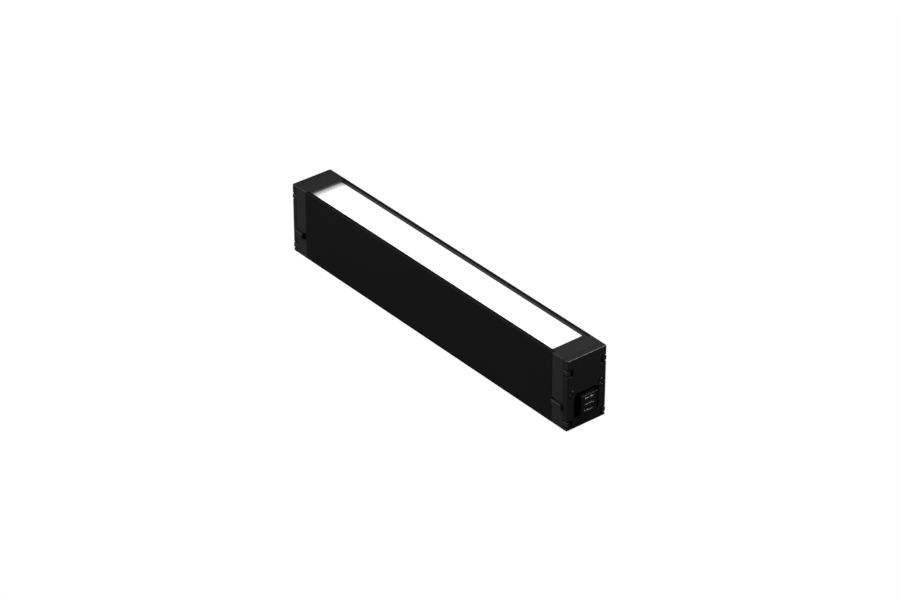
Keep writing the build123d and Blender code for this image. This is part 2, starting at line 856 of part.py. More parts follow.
def make_dc_lead(index):
    """Lead from the driver's output terminal, up through the shelf, to the LED board."""
    y = dc_pair_y[index]
    mouth_y = terminal_wires[index]
    mouth_x = output_terminal_x - terminal_length / 2
    points = [
        (mouth_x + terminal_seat, mouth_y, terminal_mouth_z),
        (mouth_x - dc_lead_straight, mouth_y, terminal_mouth_z),
        (dc_slot_x, y, terminal_mouth_z + dc_lead_climb),
        (dc_slot_x, y, led_board_top + dc_lead_loop),
        (dc_slot_x + dc_lead_foot, y, led_board_top + dc_lead_radius),
    ]
    return cable(points, dc_lead_radius, dc_lead_bend)


def make_wire_clips():
    """Moulded clips on the front wall that hold the three through wires."""
    low = lane_heights[0] - main_wire_radius - clip_skin
    high = lane_heights[-1] + main_wire_radius + clip_skin
    clips = []
    for x in clip_places:
        length = (x - clip_length / 2, x + clip_length / 2)
        body = block(length, (-chamber_half, -wire_lane + main_wire_radius + clip_skin), (low, high))
        for lane in lane_heights:
            start = (length[0], -wire_lane, lane)
            body -= rod("X", start, clip_length, main_wire_radius + fit_clearance)
        clips.append(body)
    return Compound(clips)


def make_pieces():
    """Every piece of the bar by its node name."""
    pieces = {
        "housing": make_housing(),
        "lens": make_lens(),
        "reflector": make_reflector(),
        "led_board": make_led_board(),
        "led_chips": make_led_chips(),
        "led_board_screws": make_led_board_screws(),
        "mounting_inserts": make_mounting_inserts(),
        "driver_board": make_driver_board(),
        "driver_insulator": make_driver_insulator(),
        "input_terminal": make_terminal(input_terminal_x, 1),
        "line_fuse": make_line_fuse(),
        "filter_choke": make_filter_choke(),
        "film_capacitor": make_film_capacitor(),
        "bridge_rectifier": make_bridge_rectifier(),
        "bulk_capacitor": make_can_capacitor(
            bulk_capacitor_place, bulk_capacitor_radius, bulk_capacitor_height
        ),
        "heat_sink": make_heat_sink(),
        "switch_transistor": make_switch_transistor(),
        "transformer_core": make_transformer_core(),
        "transformer_coil": make_transformer_coil(),
        "output_capacitor": make_can_capacitor(
            output_capacitor_place, output_capacitor_radius, output_capacitor_height
        ),
        "output_terminal": make_terminal(output_terminal_x, -1),
        "neutral_wire": make_through_wire(0),
        "earth_wire": make_through_wire(1),
        "live_wire": make_through_wire(2),
        "wire_clips": make_wire_clips(),
        "driver_neutral_lead": make_driver_lead(0, terminal_wires[0]),
        "driver_live_lead": make_driver_lead(2, terminal_wires[1]),
        "led_positive_lead": make_dc_lead(0),
        "led_negative_lead": make_dc_lead(1),
        "earth_stud": make_earth_stud(),
        "earth_lug": make_earth_lug(),
        "earth_nut": make_earth_nut(),
        "earth_lead": make_earth_lead(),
    }
    kit = {
        "collar": make_collar(),
        "cover": make_cover(),
        "socket": make_socket(),
        "contacts": make_contacts(),
        "cap_screws": make_cap_screws(),
    }
    for name, shape in kit.items():
        pieces["right_" + name] = shape
        pieces["left_" + name] = other_end(shape)
    front = -1
    rear = 1
    latches = {"right_front": front, "right_rear": rear, "left_front": rear, "left_rear": front}
    for place, side in latches.items():
        tab = make_latch(side)
        spring = make_latch_spring(side)
        if place.startswith("left"):
            tab = other_end(tab)
            spring = other_end(spring)
        pieces[place + "_latch"] = tab
        pieces[place + "_spring"] = spring
    return pieces


os.makedirs("parts", exist_ok=True)
for node, shape in make_pieces().items():
    export_step(shape, "parts/" + node + ".step")
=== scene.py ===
import bpy
import math
from mathutils import Matrix, Vector


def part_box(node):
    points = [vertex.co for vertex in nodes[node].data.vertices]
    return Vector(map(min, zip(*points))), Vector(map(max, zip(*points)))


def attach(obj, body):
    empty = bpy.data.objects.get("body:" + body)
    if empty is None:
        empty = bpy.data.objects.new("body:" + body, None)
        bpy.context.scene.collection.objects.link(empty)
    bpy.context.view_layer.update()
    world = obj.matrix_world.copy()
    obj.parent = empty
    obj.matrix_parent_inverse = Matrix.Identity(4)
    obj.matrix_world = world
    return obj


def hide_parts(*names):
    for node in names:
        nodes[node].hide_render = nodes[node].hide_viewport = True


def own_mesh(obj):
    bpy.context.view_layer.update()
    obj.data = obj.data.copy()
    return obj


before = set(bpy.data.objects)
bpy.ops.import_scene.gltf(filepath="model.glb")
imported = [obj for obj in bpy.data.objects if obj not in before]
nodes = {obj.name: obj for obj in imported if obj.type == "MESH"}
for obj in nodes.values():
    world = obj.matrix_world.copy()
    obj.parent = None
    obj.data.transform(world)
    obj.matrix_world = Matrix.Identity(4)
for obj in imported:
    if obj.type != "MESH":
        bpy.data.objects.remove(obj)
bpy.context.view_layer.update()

# ------------------------------------------------------------------ camera
# A long lens three-quarter view from the right front, above the bar, aimed a touch beside
# its middle so that the bar sits a little left of centre.
view_azimuth = math.radians(51.0)
view_elevation = math.radians(31.92)
view_distance = 2.4031
view_right = 0.00445
view_up = -0.0033
camera_data = bpy.data.cameras.new("studio_camera")
camera_data.sensor_width = 36.0
camera_data.lens = 137.65
camera_data.clip_end = 50.0
camera = bpy.data.objects.new("studio_camera", camera_data)
bpy.context.scene.collection.objects.link(camera)
towards_camera = Vector(
    (
        math.sin(view_azimuth) * math.cos(view_elevation),
        -math.cos(view_azimuth) * math.cos(view_elevation),
        math.sin(view_elevation),
    )
)
camera_right = (-towards_camera).cross(Vector((0, 0, 1))).normalized()
camera_up = towards_camera.cross(camera_right)
body_middle = (Vector(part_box("housing")[0]) + Vector(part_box("housing")[1])) / 2
camera.matrix_world = Matrix.Translation(
    body_middle + towards_camera * view_distance + camera_right * view_right + camera_up * view_up
) @ Matrix((camera_right, camera_up, towards_camera)).transposed().to_4x4()
bpy.context.scene.camera = camera
bpy.context.scene.view_settings.view_transform = "Standard"

# ------------------------------------------------------------------ floor and lights
# A seamless white sweep that the bar stands on, lit by a broad box above and behind, and by a
# faint fill. The sweep looks white but throws little light back, as a cut-out product shot has it.
bpy.ops.object.select_all(action="DESELECT")
bpy.ops.mesh.primitive_plane_add(size=8.0, location=(0, 0, 0))
floor = bpy.context.active_object
floor.name = "sweep_floor"
floor_paint = bpy.data.materials.new("white_sweep")
floor_paint.use_nodes = True
tree = floor_paint.node_tree
tree.nodes.clear()
output = tree.nodes.new("ShaderNodeOutputMaterial")
either = tree.nodes.new("ShaderNodeMixShader")
glow = tree.nodes.new("ShaderNodeEmission")
glow.inputs["Strength"].default_value = 1.0
matt = tree.nodes.new("ShaderNodeBsdfDiffuse")
matt.inputs["Color"].default_value = (0.16, 0.16, 0.16, 1)
path = tree.nodes.new("ShaderNodeLightPath")
tree.links.new(path.outputs["Is Camera Ray"], either.inputs["Fac"])
tree.links.new(matt.outputs["BSDF"], either.inputs[1])
tree.links.new(glow.outputs["Emission"], either.inputs[2])
tree.links.new(either.outputs["Shader"], output.inputs["Surface"])
floor.data.materials.append(floor_paint)

world = bpy.data.worlds.new("studio")
bpy.context.scene.world = world
world.use_nodes = True
tree = world.node_tree
tree.nodes.clear()
output = tree.nodes.new("ShaderNodeOutputWorld")
either = tree.nodes.new("ShaderNodeMixShader")
seen = tree.nodes.new("ShaderNodeBackground")
seen.inputs["Strength"].default_value = 1.0
fill = tree.nodes.new("ShaderNodeBackground")
fill.inputs["Color"].default_value = (0.9, 0.95, 1.0, 1)
fill.inputs["Strength"].default_value = 0.03
path = tree.nodes.new("ShaderNodeLightPath")
tree.links.new(path.outputs["Is Camera Ray"], either.inputs["Fac"])
tree.links.new(fill.outputs["Background"], either.inputs[1])
tree.links.new(seen.outputs["Background"], either.inputs[2])
tree.links.new(either.outputs["Shader"], output.inputs["Surface"])


def softbox(name, direction, distance, size, power):
    """A square area light that looks at the bar from the given direction."""
    data = bpy.data.lights.new(name, "AREA")
    data.shape = "SQUARE"
    data.size = size
    data.energy = power
    lamp = bpy.data.objects.new(name, data)
    bpy.context.scene.collection.objects.link(lamp)
    place = body_middle + Vector(direction).normalized() * distance
    lamp.location = place
    lamp.rotation_euler = (place - body_middle).to_track_quat("Z", "Y").to_euler()


softbox("top_box", (-0.45, 0.55, 0.75), 1.6, 1.1, 0.9)
softbox("rim_box", (0.45, 0.54, 0.71), 0.8, 0.22, 1.72)
softbox("front_fill", (-0.20, -0.9, 0.35), 2.0, 1.2, 9.0)
softbox("edge_box", (-0.66, -0.53, 0.53), 1.8, 1.0, 9.5)

# ------------------------------------------------------------------ housing
# Aluminium extrusion with a shelf for the LED board and slit tubes for the cap screws.
# Finished in fine black powder coat, which has a slight orange peel; its edges are painted paler, as
# rubbing and as a painted edge highlight.


def new_group(name, numbers, results):
    """An empty node group with named number inputs and named results."""
    group = bpy.data.node_groups.new(name, "ShaderNodeTree")
    for label, value in numbers.items():
        socket = group.interface.new_socket(label, in_out="INPUT", socket_type="NodeSocketFloat")
        socket.default_value = value
    for label in results:
        group.interface.new_socket(label, in_out="OUTPUT", socket_type="NodeSocketFloat")
    return group, group.nodes.new("NodeGroupInput"), group.nodes.new("NodeGroupOutput")


def build_surface_grain():
    """Fine grain and slow cloudiness over a surface, both from 0 to 1."""
    group, given, result = new_group(
        "surface_grain", {"Grain Scale": 2500.0, "Cloud Scale": 40.0}, ("Grain", "Cloud", "Height")
    )
    place = group.nodes.new("ShaderNodeTexCoord")
    fine = group.nodes.new("ShaderNodeTexNoise")
    fine.inputs["Detail"].default_value = 3.0
    cloud = group.nodes.new("ShaderNodeTexNoise")
    cloud.inputs["Detail"].default_value = 4.0
    cloud.inputs["Roughness"].default_value = 0.6
    sum_up = group.nodes.new("ShaderNodeMath")
    sum_up.operation = "MULTIPLY_ADD"
    sum_up.inputs[1].default_value = 0.35
    link = group.links.new
    link(place.outputs["Object"], fine.inputs["Vector"])
    link(place.outputs["Object"], cloud.inputs["Vector"])
    link(given.outputs["Grain Scale"], fine.inputs["Scale"])
    link(given.outputs["Cloud Scale"], cloud.inputs["Scale"])
    link(cloud.outputs["Fac"], sum_up.inputs[0])
    link(fine.outputs["Fac"], sum_up.inputs[2])
    link(fine.outputs["Fac"], result.inputs["Grain"])
    link(cloud.outputs["Fac"], result.inputs["Cloud"])
    link(sum_up.outputs["Value"], result.inputs["Height"])
    return group


def build_edge_rub_and_sheen():
    """Mask that is 1 along outer and inner edges and broken up by noise, for rubbed edges and a painted
    edge highlight.
    """
    group, given, result = new_group("edge_rub_and_sheen", {"Width": 0.0005, "Amount": 0.5}, ("Mask",))
    rounded = group.nodes.new("ShaderNodeBevel")
    rounded.samples = 4
    flat = group.nodes.new("ShaderNodeNewGeometry")
    agree = group.nodes.new("ShaderNodeVectorMath")
    agree.operation = "DOT_PRODUCT"
    edge = group.nodes.new("ShaderNodeMapRange")
    edge.inputs["From Min"].default_value = 0.995
    edge.inputs["From Max"].default_value = 0.80
    place = group.nodes.new("ShaderNodeTexCoord")
    patches = group.nodes.new("ShaderNodeTexNoise")
    patches.inputs["Scale"].default_value = 220.0
    patches.inputs["Detail"].default_value = 5.0
    broken = group.nodes.new("ShaderNodeMapRange")
    broken.inputs["From Min"].default_value = 0.38
    broken.inputs["From Max"].default_value = 0.68
    both = group.nodes.new("ShaderNodeMath")
    both.operation = "MULTIPLY"
    share = group.nodes.new("ShaderNodeMath")
    share.operation = "MULTIPLY"
    link = group.links.new
    link(given.outputs["Width"], rounded.inputs["Radius"])
    link(rounded.outputs["Normal"], agree.inputs[0])
    link(flat.outputs["True Normal"], agree.inputs[1])
    link(agree.outputs["Value"], edge.inputs["Value"])
    link(place.outputs["Object"], patches.inputs["Vector"])
    link(patches.outputs["Fac"], broken.inputs["Value"])
    link(edge.outputs["Result"], both.inputs[0])
    link(broken.outputs["Result"], both.inputs[1])
    link(both.outputs["Value"], share.inputs[0])
    link(given.outputs["Amount"], share.inputs[1])
    link(share.outputs["Value"], result.inputs["Mask"])
    return group


surface_grain = build_surface_grain()
edge_rub_and_sheen = build_edge_rub_and_sheen()


def finish(
    name, base, cloudy, worn_and_sheen, roughness, grain_scale, cloud_scale, rub_and_sheen, bump, metallic=0.0, specular=0.5
):
    """A solid finish: base colour clouding to another, painted paler on the edges as rubbing and as a
    painted highlight, with a fine grain.
    """
    made = bpy.data.materials.new(name)
    made.use_nodes = True
    tree = made.node_tree
    shader = tree.nodes["Principled BSDF"]
    shader.inputs["Metallic"].default_value = metallic
    shader.inputs["Specular IOR Level"].default_value = specular
    grain = tree.nodes.new("ShaderNodeGroup")
    grain.node_tree = surface_grain
    grain.inputs["Grain Scale"].default_value = grain_scale
    grain.inputs["Cloud Scale"].default_value = cloud_scale
    rub_sheen_node = tree.nodes.new("ShaderNodeGroup")
    rub_sheen_node.node_tree = edge_rub_and_sheen
    rub_sheen_node.inputs["Amount"].default_value = rub_and_sheen
    tint = tree.nodes.new("ShaderNodeMix")
    tint.data_type = "RGBA"
    tint.inputs["A"].default_value = (*base, 1)
    tint.inputs["B"].default_value = (*cloudy, 1)
    # Painted highlight mixed with rubbing: the edges are painted in the paler colour
    wear_and_sheen = tree.nodes.new("ShaderNodeMix")
    wear_and_sheen.data_type = "RGBA"
    wear_and_sheen.inputs["B"].default_value = (*worn_and_sheen, 1)
    gloss = tree.nodes.new("ShaderNodeMapRange")
    gloss.inputs["To Min"].default_value = roughness - 0.06
    gloss.inputs["To Max"].default_value = roughness + 0.06
    relief = tree.nodes.new("ShaderNodeBump")
    relief.inputs["Strength"].default_value = bump
    relief.inputs["Distance"].default_value = 0.0001
    soft_edge = tree.nodes.new("ShaderNodeBevel")
    soft_edge.samples = 4
    soft_edge.inputs["Radius"].default_value = 0.00025
    link = tree.links.new
    link(grain.outputs["Cloud"], tint.inputs["Factor"])
    link(tint.outputs["Result"], wear_and_sheen.inputs["A"])
    link(rub_sheen_node.outputs["Mask"], wear_and_sheen.inputs["Factor"])
    link(wear_and_sheen.outputs["Result"], shader.inputs["Base Color"])
    link(grain.outputs["Cloud"], gloss.inputs["Value"])
    link(gloss.outputs["Result"], shader.inputs["Roughness"])
    link(grain.outputs["Height"], relief.inputs["Height"])
    link(soft_edge.outputs["Normal"], relief.inputs["Normal"])
    link(relief.outputs["Normal"], shader.inputs["Normal"])
    return made


def dress(material, *names):
    """Gives CAD pieces their finish."""
    for name in names:
        mesh = nodes[name].data
        mesh.materials.clear()
        mesh.materials.append(material)


powder_coat = finish(
    "housing_powder_coat", (0.010, 0.010, 0.0105), (0.013, 0.013, 0.0135), (0.04, 0.04, 0.042),
    0.58, 2600.0, 30.0, 0.5, 0.25, 0.0, 0.22,
)
dress(powder_coat, "housing")

# ------------------------------------------------------------------ lens
# Opal acrylic strip slid into the grooves below the rims, with a shallow channel along its
# underside. Lit from below, it glows evenly; its glow dims towards both ends where the LED row stops
# short, and that dimming is also painted shade for the shade by the end caps.


def start_clean():
    """Leaves nothing selected, so that the next operator acts on the new object alone."""
    if bpy.context.object and bpy.context.object.mode != "OBJECT":
        bpy.ops.object.mode_set(mode="OBJECT")
    bpy.ops.object.select_all(action="DESELECT")


def box_between(name, low, high):
    """A box between two corners, with its place in the mesh."""
    start_clean()
    low, high = Vector(low), Vector(high)
    bpy.ops.mesh.primitive_cube_add(size=1.0, location=(low + high) / 2)
    made = bpy.context.active_object
    made.name = name
    made.scale = high - low
    bpy.ops.object.transform_apply(location=True, rotation=True, scale=True)
    return made


def edit_faces(made, wanted):
    """Opens edit mode with the faces selected whose centre and normal pass the test."""
    start_clean()
    made.select_set(True)
    bpy.context.view_layer.objects.active = made
    bpy.ops.object.mode_set(mode="EDIT")
    bpy.ops.mesh.select_mode(type="FACE")
    bpy.ops.mesh.select_all(action="DESELECT")
    bpy.ops.object.mode_set(mode="OBJECT")
    for face in made.data.polygons:
        face.select = wanted(face.center, face.normal)
    bpy.ops.object.mode_set(mode="EDIT")


def close_edit():
    """Turns every face outward and leaves edit mode."""
    bpy.ops.mesh.select_all(action="SELECT")
    bpy.ops.mesh.normals_make_consistent(inside=False)
    bpy.ops.object.mode_set(mode="OBJECT")


def round_edges(made, width, segments=3, angle=30.0):
    """Rounds the sharp edges of a finished mesh and shades it smooth across them."""
    start_clean()
    made.select_set(True)
    bpy.context.view_layer.objects.active = made
    rounding = made.modifiers.new("rounding", "BEVEL")
    rounding.width = width
    rounding.segments = segments
    rounding.limit_method = "ANGLE"
    rounding.angle_limit = math.radians(angle)
    bpy.ops.object.modifier_apply(modifier="rounding")
    bpy.ops.object.shade_smooth_by_angle(angle=math.radians(40.0))


lens_low, lens_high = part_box("lens")
lens_channel = 0.0004
lens_foot = 0.0025
lens = box_between("opal_lens", lens_low, lens_high)
edit_faces(lens, lambda centre, normal: normal.z < -0.5)
bpy.ops.mesh.inset(thickness=lens_foot)
bpy.ops.transform.translate(value=(0, 0, lens_channel))
close_edit()
round_edges(lens, 0.0002)

opal = bpy.data.materials.new("opal_acrylic_lit")
opal.use_nodes = True
tree = opal.node_tree
shader = tree.nodes["Principled BSDF"]
shader.inputs["Roughness"].default_value = 0.42
shader.inputs["Emission Strength"].default_value = 1.0
place = tree.nodes.new("ShaderNodeTexCoord")
split = tree.nodes.new("ShaderNodeSeparateXYZ")
from_middle = tree.nodes.new("ShaderNodeMath")
from_middle.operation = "ABSOLUTE"
# Painted shade: the glow fades towards both ends of the lens
end_shade_fade = tree.nodes.new("ShaderNodeMapRange")
end_shade_fade.interpolation_type = "SMOOTHSTEP"
end_shade_fade.inputs["From Min"].default_value = 0.1185
end_shade_fade.inputs["From Max"].default_value = 0.1375
end_shade_fade.inputs["To Min"].default_value = 1.6
end_shade_fade.inputs["To Max"].default_value = 0.16
full = tree.nodes.new("ShaderNodeMath")
full.operation = "MINIMUM"
full.inputs[1].default_value = 1.0
frost = tree.nodes.new("ShaderNodeTexNoise")
frost.inputs["Scale"].default_value = 3500.0
mottle = tree.nodes.new("ShaderNodeMix")
mottle.data_type = "RGBA"
mottle.inputs["A"].default_value = (0.90, 0.90, 0.89, 1)
mottle.inputs["B"].default_value = (0.96, 0.96, 0.95, 1)
light_tint = tree.nodes.new("ShaderNodeMix")
light_tint.data_type = "RGBA"
light_tint.inputs["A"].default_value = (0.0, 0.0, 0.0, 1)
light_tint.inputs["B"].default_value = (1.0, 0.99, 0.97, 1)
relief = tree.nodes.new("ShaderNodeBump")
relief.inputs["Strength"].default_value = 0.1
relief.inputs["Distance"].default_value = 0.00005
link = tree.links.new
link(place.outputs["Object"], split.inputs["Vector"])
link(split.outputs["X"], from_middle.inputs[0])
link(from_middle.outputs["Value"], end_shade_fade.inputs["Value"])
link(place.outputs["Object"], frost.inputs["Vector"])
link(frost.outputs["Fac"], mottle.inputs["Factor"])
link(mottle.outputs["Result"], shader.inputs["Base Color"])
link(end_shade_fade.outputs["Result"], full.inputs[0])
link(full.outputs["Value"], light_tint.inputs["Factor"])
link(light_tint.outputs["Result"], shader.inputs["Emission Color"])
link(frost.outputs["Fac"], relief.inputs["Height"])
link(relief.outputs["Normal"], shader.inputs["Normal"])
lens.data.materials.append(opal)
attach(lens, "fixture")
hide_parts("lens")

# ------------------------------------------------------------------ end caps
# Collar and cover at each end, moulded in black polycarbonate with a satin skin. The four hooks
# of each collar stand in the cover's notches, and a latch tab stands in each side window.
cap_plastic = finish(
    "cap_satin_plastic", (0.037, 0.037, 0.0375), (0.045, 0.045, 0.0455), (0.08, 0.08, 0.082),
    0.36, 3800.0, 60.0, 0.35, 0.12, 0.0, 0.45,
)
# The cover is a darker copy of the cap plastic: painted shade for its end face, which faces away from the
# lamps
shaded_cover_plastic = finish(
    "cover_satin_plastic_shaded", (0.021, 0.021, 0.0215), (0.026, 0.026, 0.0265), (0.08, 0.08, 0.082),
    0.33, 3800.0, 60.0, 0.35, 0.10, 0.0, 0.7,
)
for end in ("left", "right"):
    dress(cap_plastic, end + "_collar", end + "_front_latch", end + "_rear_latch")
    dress(shaded_cover_plastic, end + "_cover")

# ------------------------------------------------------------------ link sockets
# One moulding at each end: the block that a plug's shell slides over, its base behind the cover
# and the open tray round the contact tails. Glass-filled nylon, flatter than the caps.
socket_plastic = finish(
    "socket_nylon", (0.010, 0.010, 0.0105), (0.013, 0.013, 0.0135), (0.06, 0.06, 0.06),
    0.34, 3000.0, 120.0, 0.3, 0.08, 0.0, 0.5,
)
dress(socket_plastic, "left_socket", "right_socket")

# ------------------------------------------------------------------ contact blades
# Three tinned brass blades at each end: a rounded nose that guides the plug, and a narrower tail
# with two rolled barrels that hold the through wire and the lead.
blade_bevel = 0.00037
blade_nose = 0.0003
barrel_radius = 0.00135
barrel_length = 0.0035
barrel_side = 0.0016


def rod_along(name, axis, start, length, radius, sides=32):
    """A round bar from start, along +X, +Y or +Z, with its place in the mesh."""
    start_clean()
    step = {"X": Vector((1, 0, 0)), "Y": Vector((0, 1, 0)), "Z": Vector((0, 0, 1))}[axis]
    turn = {"X": (0, math.pi / 2, 0), "Y": (math.pi / 2, 0, 0), "Z": (0, 0, 0)}[axis]
    middle = Vector(start) + step * length / 2
    bpy.ops.mesh.primitive_cylinder_add(
        vertices=sides, radius=radius, depth=length, location=middle, rotation=turn
    )
    made = bpy.context.active_object
    made.name = name
    bpy.ops.object.transform_apply(location=True, rotation=True, scale=True)
    return made


def joined(name, pieces):
    """Makes one object of several."""
    start_clean()
    for piece in pieces:
        piece.select_set(True)
    bpy.context.view_layer.objects.active = pieces[0]
    if len(pieces) > 1:
        bpy.ops.object.join()
    whole = bpy.context.active_object
    whole.name = name
    whole.data.name = name
    return whole


def copy_to(made, shift=(0, 0, 0), half_turn=False):
    """A copy with its own mesh, moved, or turned half a turn about the bar's upright axis."""
    start_clean()
    made.select_set(True)
    bpy.context.view_layer.objects.active = made
    bpy.ops.object.duplicate(linked=False)
    twin = bpy.context.active_object
    if half_turn:
        bpy.ops.transform.rotate(value=math.pi, orient_axis="Z", center_override=(0, 0, 0))
    else:
        bpy.ops.transform.translate(value=shift)
    bpy.ops.object.transform_apply(location=True, rotation=True, scale=True)
    return twin


contact_low, contact_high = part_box("right_contacts")
blade_half = (contact_high[1] - contact_low[1]) / 2
blade_sheet = 0.0008
blade_pitch = 0.0047
blade_root = 0.1461
tail_share = 6.0 / 8.4
blades = []
for n in range(3):
    low = contact_low[2] + blade_pitch * n
    blade = box_between(
        "contact_blade",
        (blade_root, -blade_half, low),
        (contact_high[0] + blade_nose, blade_half, low + blade_sheet),
    )
    edit_faces(blade, lambda centre, normal: normal.x < -0.5)
    tail_middle = (blade_root, 0, low + blade_sheet / 2)
    bpy.ops.mesh.extrude_region_move(TRANSFORM_OT_translate={"value": (0, 0, 0)})
    bpy.ops.transform.resize(value=(1, tail_share, 1), center_override=tail_middle)
    bpy.ops.mesh.extrude_region_move(
        TRANSFORM_OT_translate={"value": (contact_low[0] - blade_root, 0, 0)}
    )
    close_edit()
    round_edges(blade, blade_bevel, 5)
    blades.append(blade)
    for side in (-1, 1):
        barrel_start = (contact_low[0] - barrel_length + 0.0006, side * barrel_side, low + blade_sheet / 2)
        barrel = rod_along("barrel", "X", barrel_start, barrel_length, barrel_radius, 24)
        edit_faces(barrel, lambda centre, normal: abs(normal.x) > 0.5)
        bpy.ops.mesh.inset(thickness=0.0003)
        bpy.ops.mesh.extrude_region_move(TRANSFORM_OT_translate={"value": (0, 0, 0)})
        close_edit()
        round_edges(barrel, 0.00008, 2)
        blades.append(barrel)
right_blades = joined("right_contact_blades", blades)
left_blades = copy_to(right_blades, half_turn=True)
left_blades.name = "left_contact_blades"

tin_plate = finish(
    "tin_plate", (0.90, 0.89, 0.86), (0.84, 0.83, 0.80), (0.94, 0.93, 0.90),
    0.38, 1800.0, 220.0, 0.4, 0.04, 0.75,
)
for end, piece in (("right", right_blades), ("left", left_blades)):
    piece.data.materials.append(tin_plate)
    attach(piece, "fixture")
    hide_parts(end + "_contacts")

# ------------------------------------------------------------------ cap screws
# Two black-zinc pan-head thread-forming screws at each end, through the cover, the socket's ears
# and the collar's bosses into the housing. Cross recess, rolled thread.
screw_side = 0.01285
screw_height = 0.0285
screw_head_radius = 0.0031
screw_head_height = 0.0017
screw_edge = 0.0005
screw_shank_radius = 0.00175
screw_core_radius = 0.00142
screw_tip_radius = 0.0008
screw_point = 0.0012
screw_neck_start = 0.0030
screw_neck = 0.0026
screw_neck_radius = 0.0016
recess_arm = 0.0018
recess_width = 0.00045
recess_depth = 0.0011
screw_pitch = 0.0014


def turned(name, axis, start, profile, sides=40):
    """A turned piece along +X or +Z. The profile is a list of distances from start and radii."""
    start_clean()
    step = {"X": Vector((1, 0, 0)), "Z": Vector((0, 0, 1))}[axis]
    turn = {"X": (0, math.pi / 2, 0), "Z": (0, 0, 0)}[axis]
    first_place, first_radius = profile[0]
    here = Vector(start) + step * first_place
    bpy.ops.mesh.primitive_circle_add(
        vertices=sides, radius=first_radius, fill_type="NGON", location=here, rotation=turn
    )
    made = bpy.context.active_object
    made.name = name
    bpy.ops.object.transform_apply(location=True, rotation=True, scale=True)
    bpy.ops.object.mode_set(mode="EDIT")
    bpy.ops.mesh.select_mode(type="FACE")
    bpy.ops.mesh.select_all(action="SELECT")
    place, radius = first_place, first_radius
    for next_place, next_radius in profile[1:]:
        advance = step * (next_place - place)
        bpy.ops.mesh.extrude_region_move(TRANSFORM_OT_translate={"value": advance})
        here = Vector(start) + step * next_place
        share = next_radius / radius
        bpy.ops.transform.resize(value=(share, share, share), center_override=here)
        place, radius = next_place, next_radius
    close_edit()
    bpy.ops.object.shade_smooth_by_angle(angle=math.radians(35.0))
    return made


def cut_away(made, cutter):
    """Takes the cutter's shape out of a mesh, and the cutter out of the scene."""
    start_clean()
    made.select_set(True)
    bpy.context.view_layer.objects.active = made
    cut = made.modifiers.new("cut", "BOOLEAN")
    cut.operation = "DIFFERENCE"
    cut.solver = "EXACT"
    cut.object = cutter
    bpy.ops.object.modifier_apply(modifier="cut")
    bpy.data.objects.remove(cutter, do_unlink=True)


def cross_recess(screw, axis, top, arm, wide, depth):
    """Cuts a cross recess whose arms narrow towards the bottom."""
    along, across = Vector((arm, wide)), Vector((wide, arm))
    for size in (along, across):
        if axis == "X":
            low = (top[0] - depth, top[1] - size.x, top[2] - size.y)
            high = (top[0] + depth, top[1] + size.x, top[2] + size.y)
        else:
            low = (top[0] - size.x, top[1] - size.y, top[2] - depth)
            high = (top[0] + size.x, top[1] + size.y, top[2] + depth)
        cutter = box_between("recess_cutter", low, high)
        edit_faces(cutter, lambda centre, normal: getattr(normal, axis.lower()) < -0.5)
        bottom = Vector(top)
        if axis == "X":
            bottom.x -= depth
            bpy.ops.transform.resize(value=(1, 0.55, 0.55), center_override=bottom)
        else:
            bottom.z -= depth
            bpy.ops.transform.resize(value=(0.55, 0.55, 1), center_override=bottom)
        close_edit()
        cut_away(screw, cutter)


screw_low, screw_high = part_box("right_cap_screws")
seat = screw_high[0] - screw_head_height
profile = [
    (screw_low[0] - seat, screw_tip_radius),
    (screw_low[0] - seat + screw_point, screw_core_radius),
]
place = profile[-1][0]
while place + screw_pitch < -screw_neck_start:
    profile += [(place + screw_pitch * 0.45, screw_shank_radius), (place + screw_pitch, screw_core_radius)]
    place += screw_pitch
profile += [(-screw_neck, screw_neck_radius), (0.0, screw_neck_radius), (0.00001, screw_head_radius)]
for n in range(6):
    angle = math.radians(90.0 * n / 5)
    profile.append(
        (
            screw_head_height - screw_edge * (1 - math.sin(angle)),
            screw_head_radius - screw_edge * (1 - math.cos(angle)),
        )
    )
screws = []
for side in (-1, 1):
    axis_place = (seat, side * screw_side, screw_height)
    screw = turned("cap_screw", "X", axis_place, profile)
    top = (screw_high[0], side * screw_side, screw_height)
    cross_recess(screw, "X", top, recess_arm, recess_width, recess_depth)
    screws.append(screw)
right_screws = joined("right_pan_screws", screws)
left_screws = copy_to(right_screws, half_turn=True)
left_screws.name = "left_pan_screws"

black_zinc = finish(
    "black_zinc", (0.10, 0.10, 0.102), (0.14, 0.14, 0.142), (0.35, 0.35, 0.36),
    0.30, 1800.0, 220.0, 0.5, 0.06, 1.0,
)
for end, piece in (("right", right_screws), ("left", left_screws)):
    piece.data.materials.append(black_zinc)
    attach(piece, "fixture")
    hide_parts(end + "_cap_screws")

# ------------------------------------------------------------------ latch springs
# A bowed leaf of spring steel behind each latch tab, resting on the socket's side wall.
leaf_sheet = 0.0003
leaf_seat = 0.0116
leaf_rest = 0.0135
leaf_steps = 28


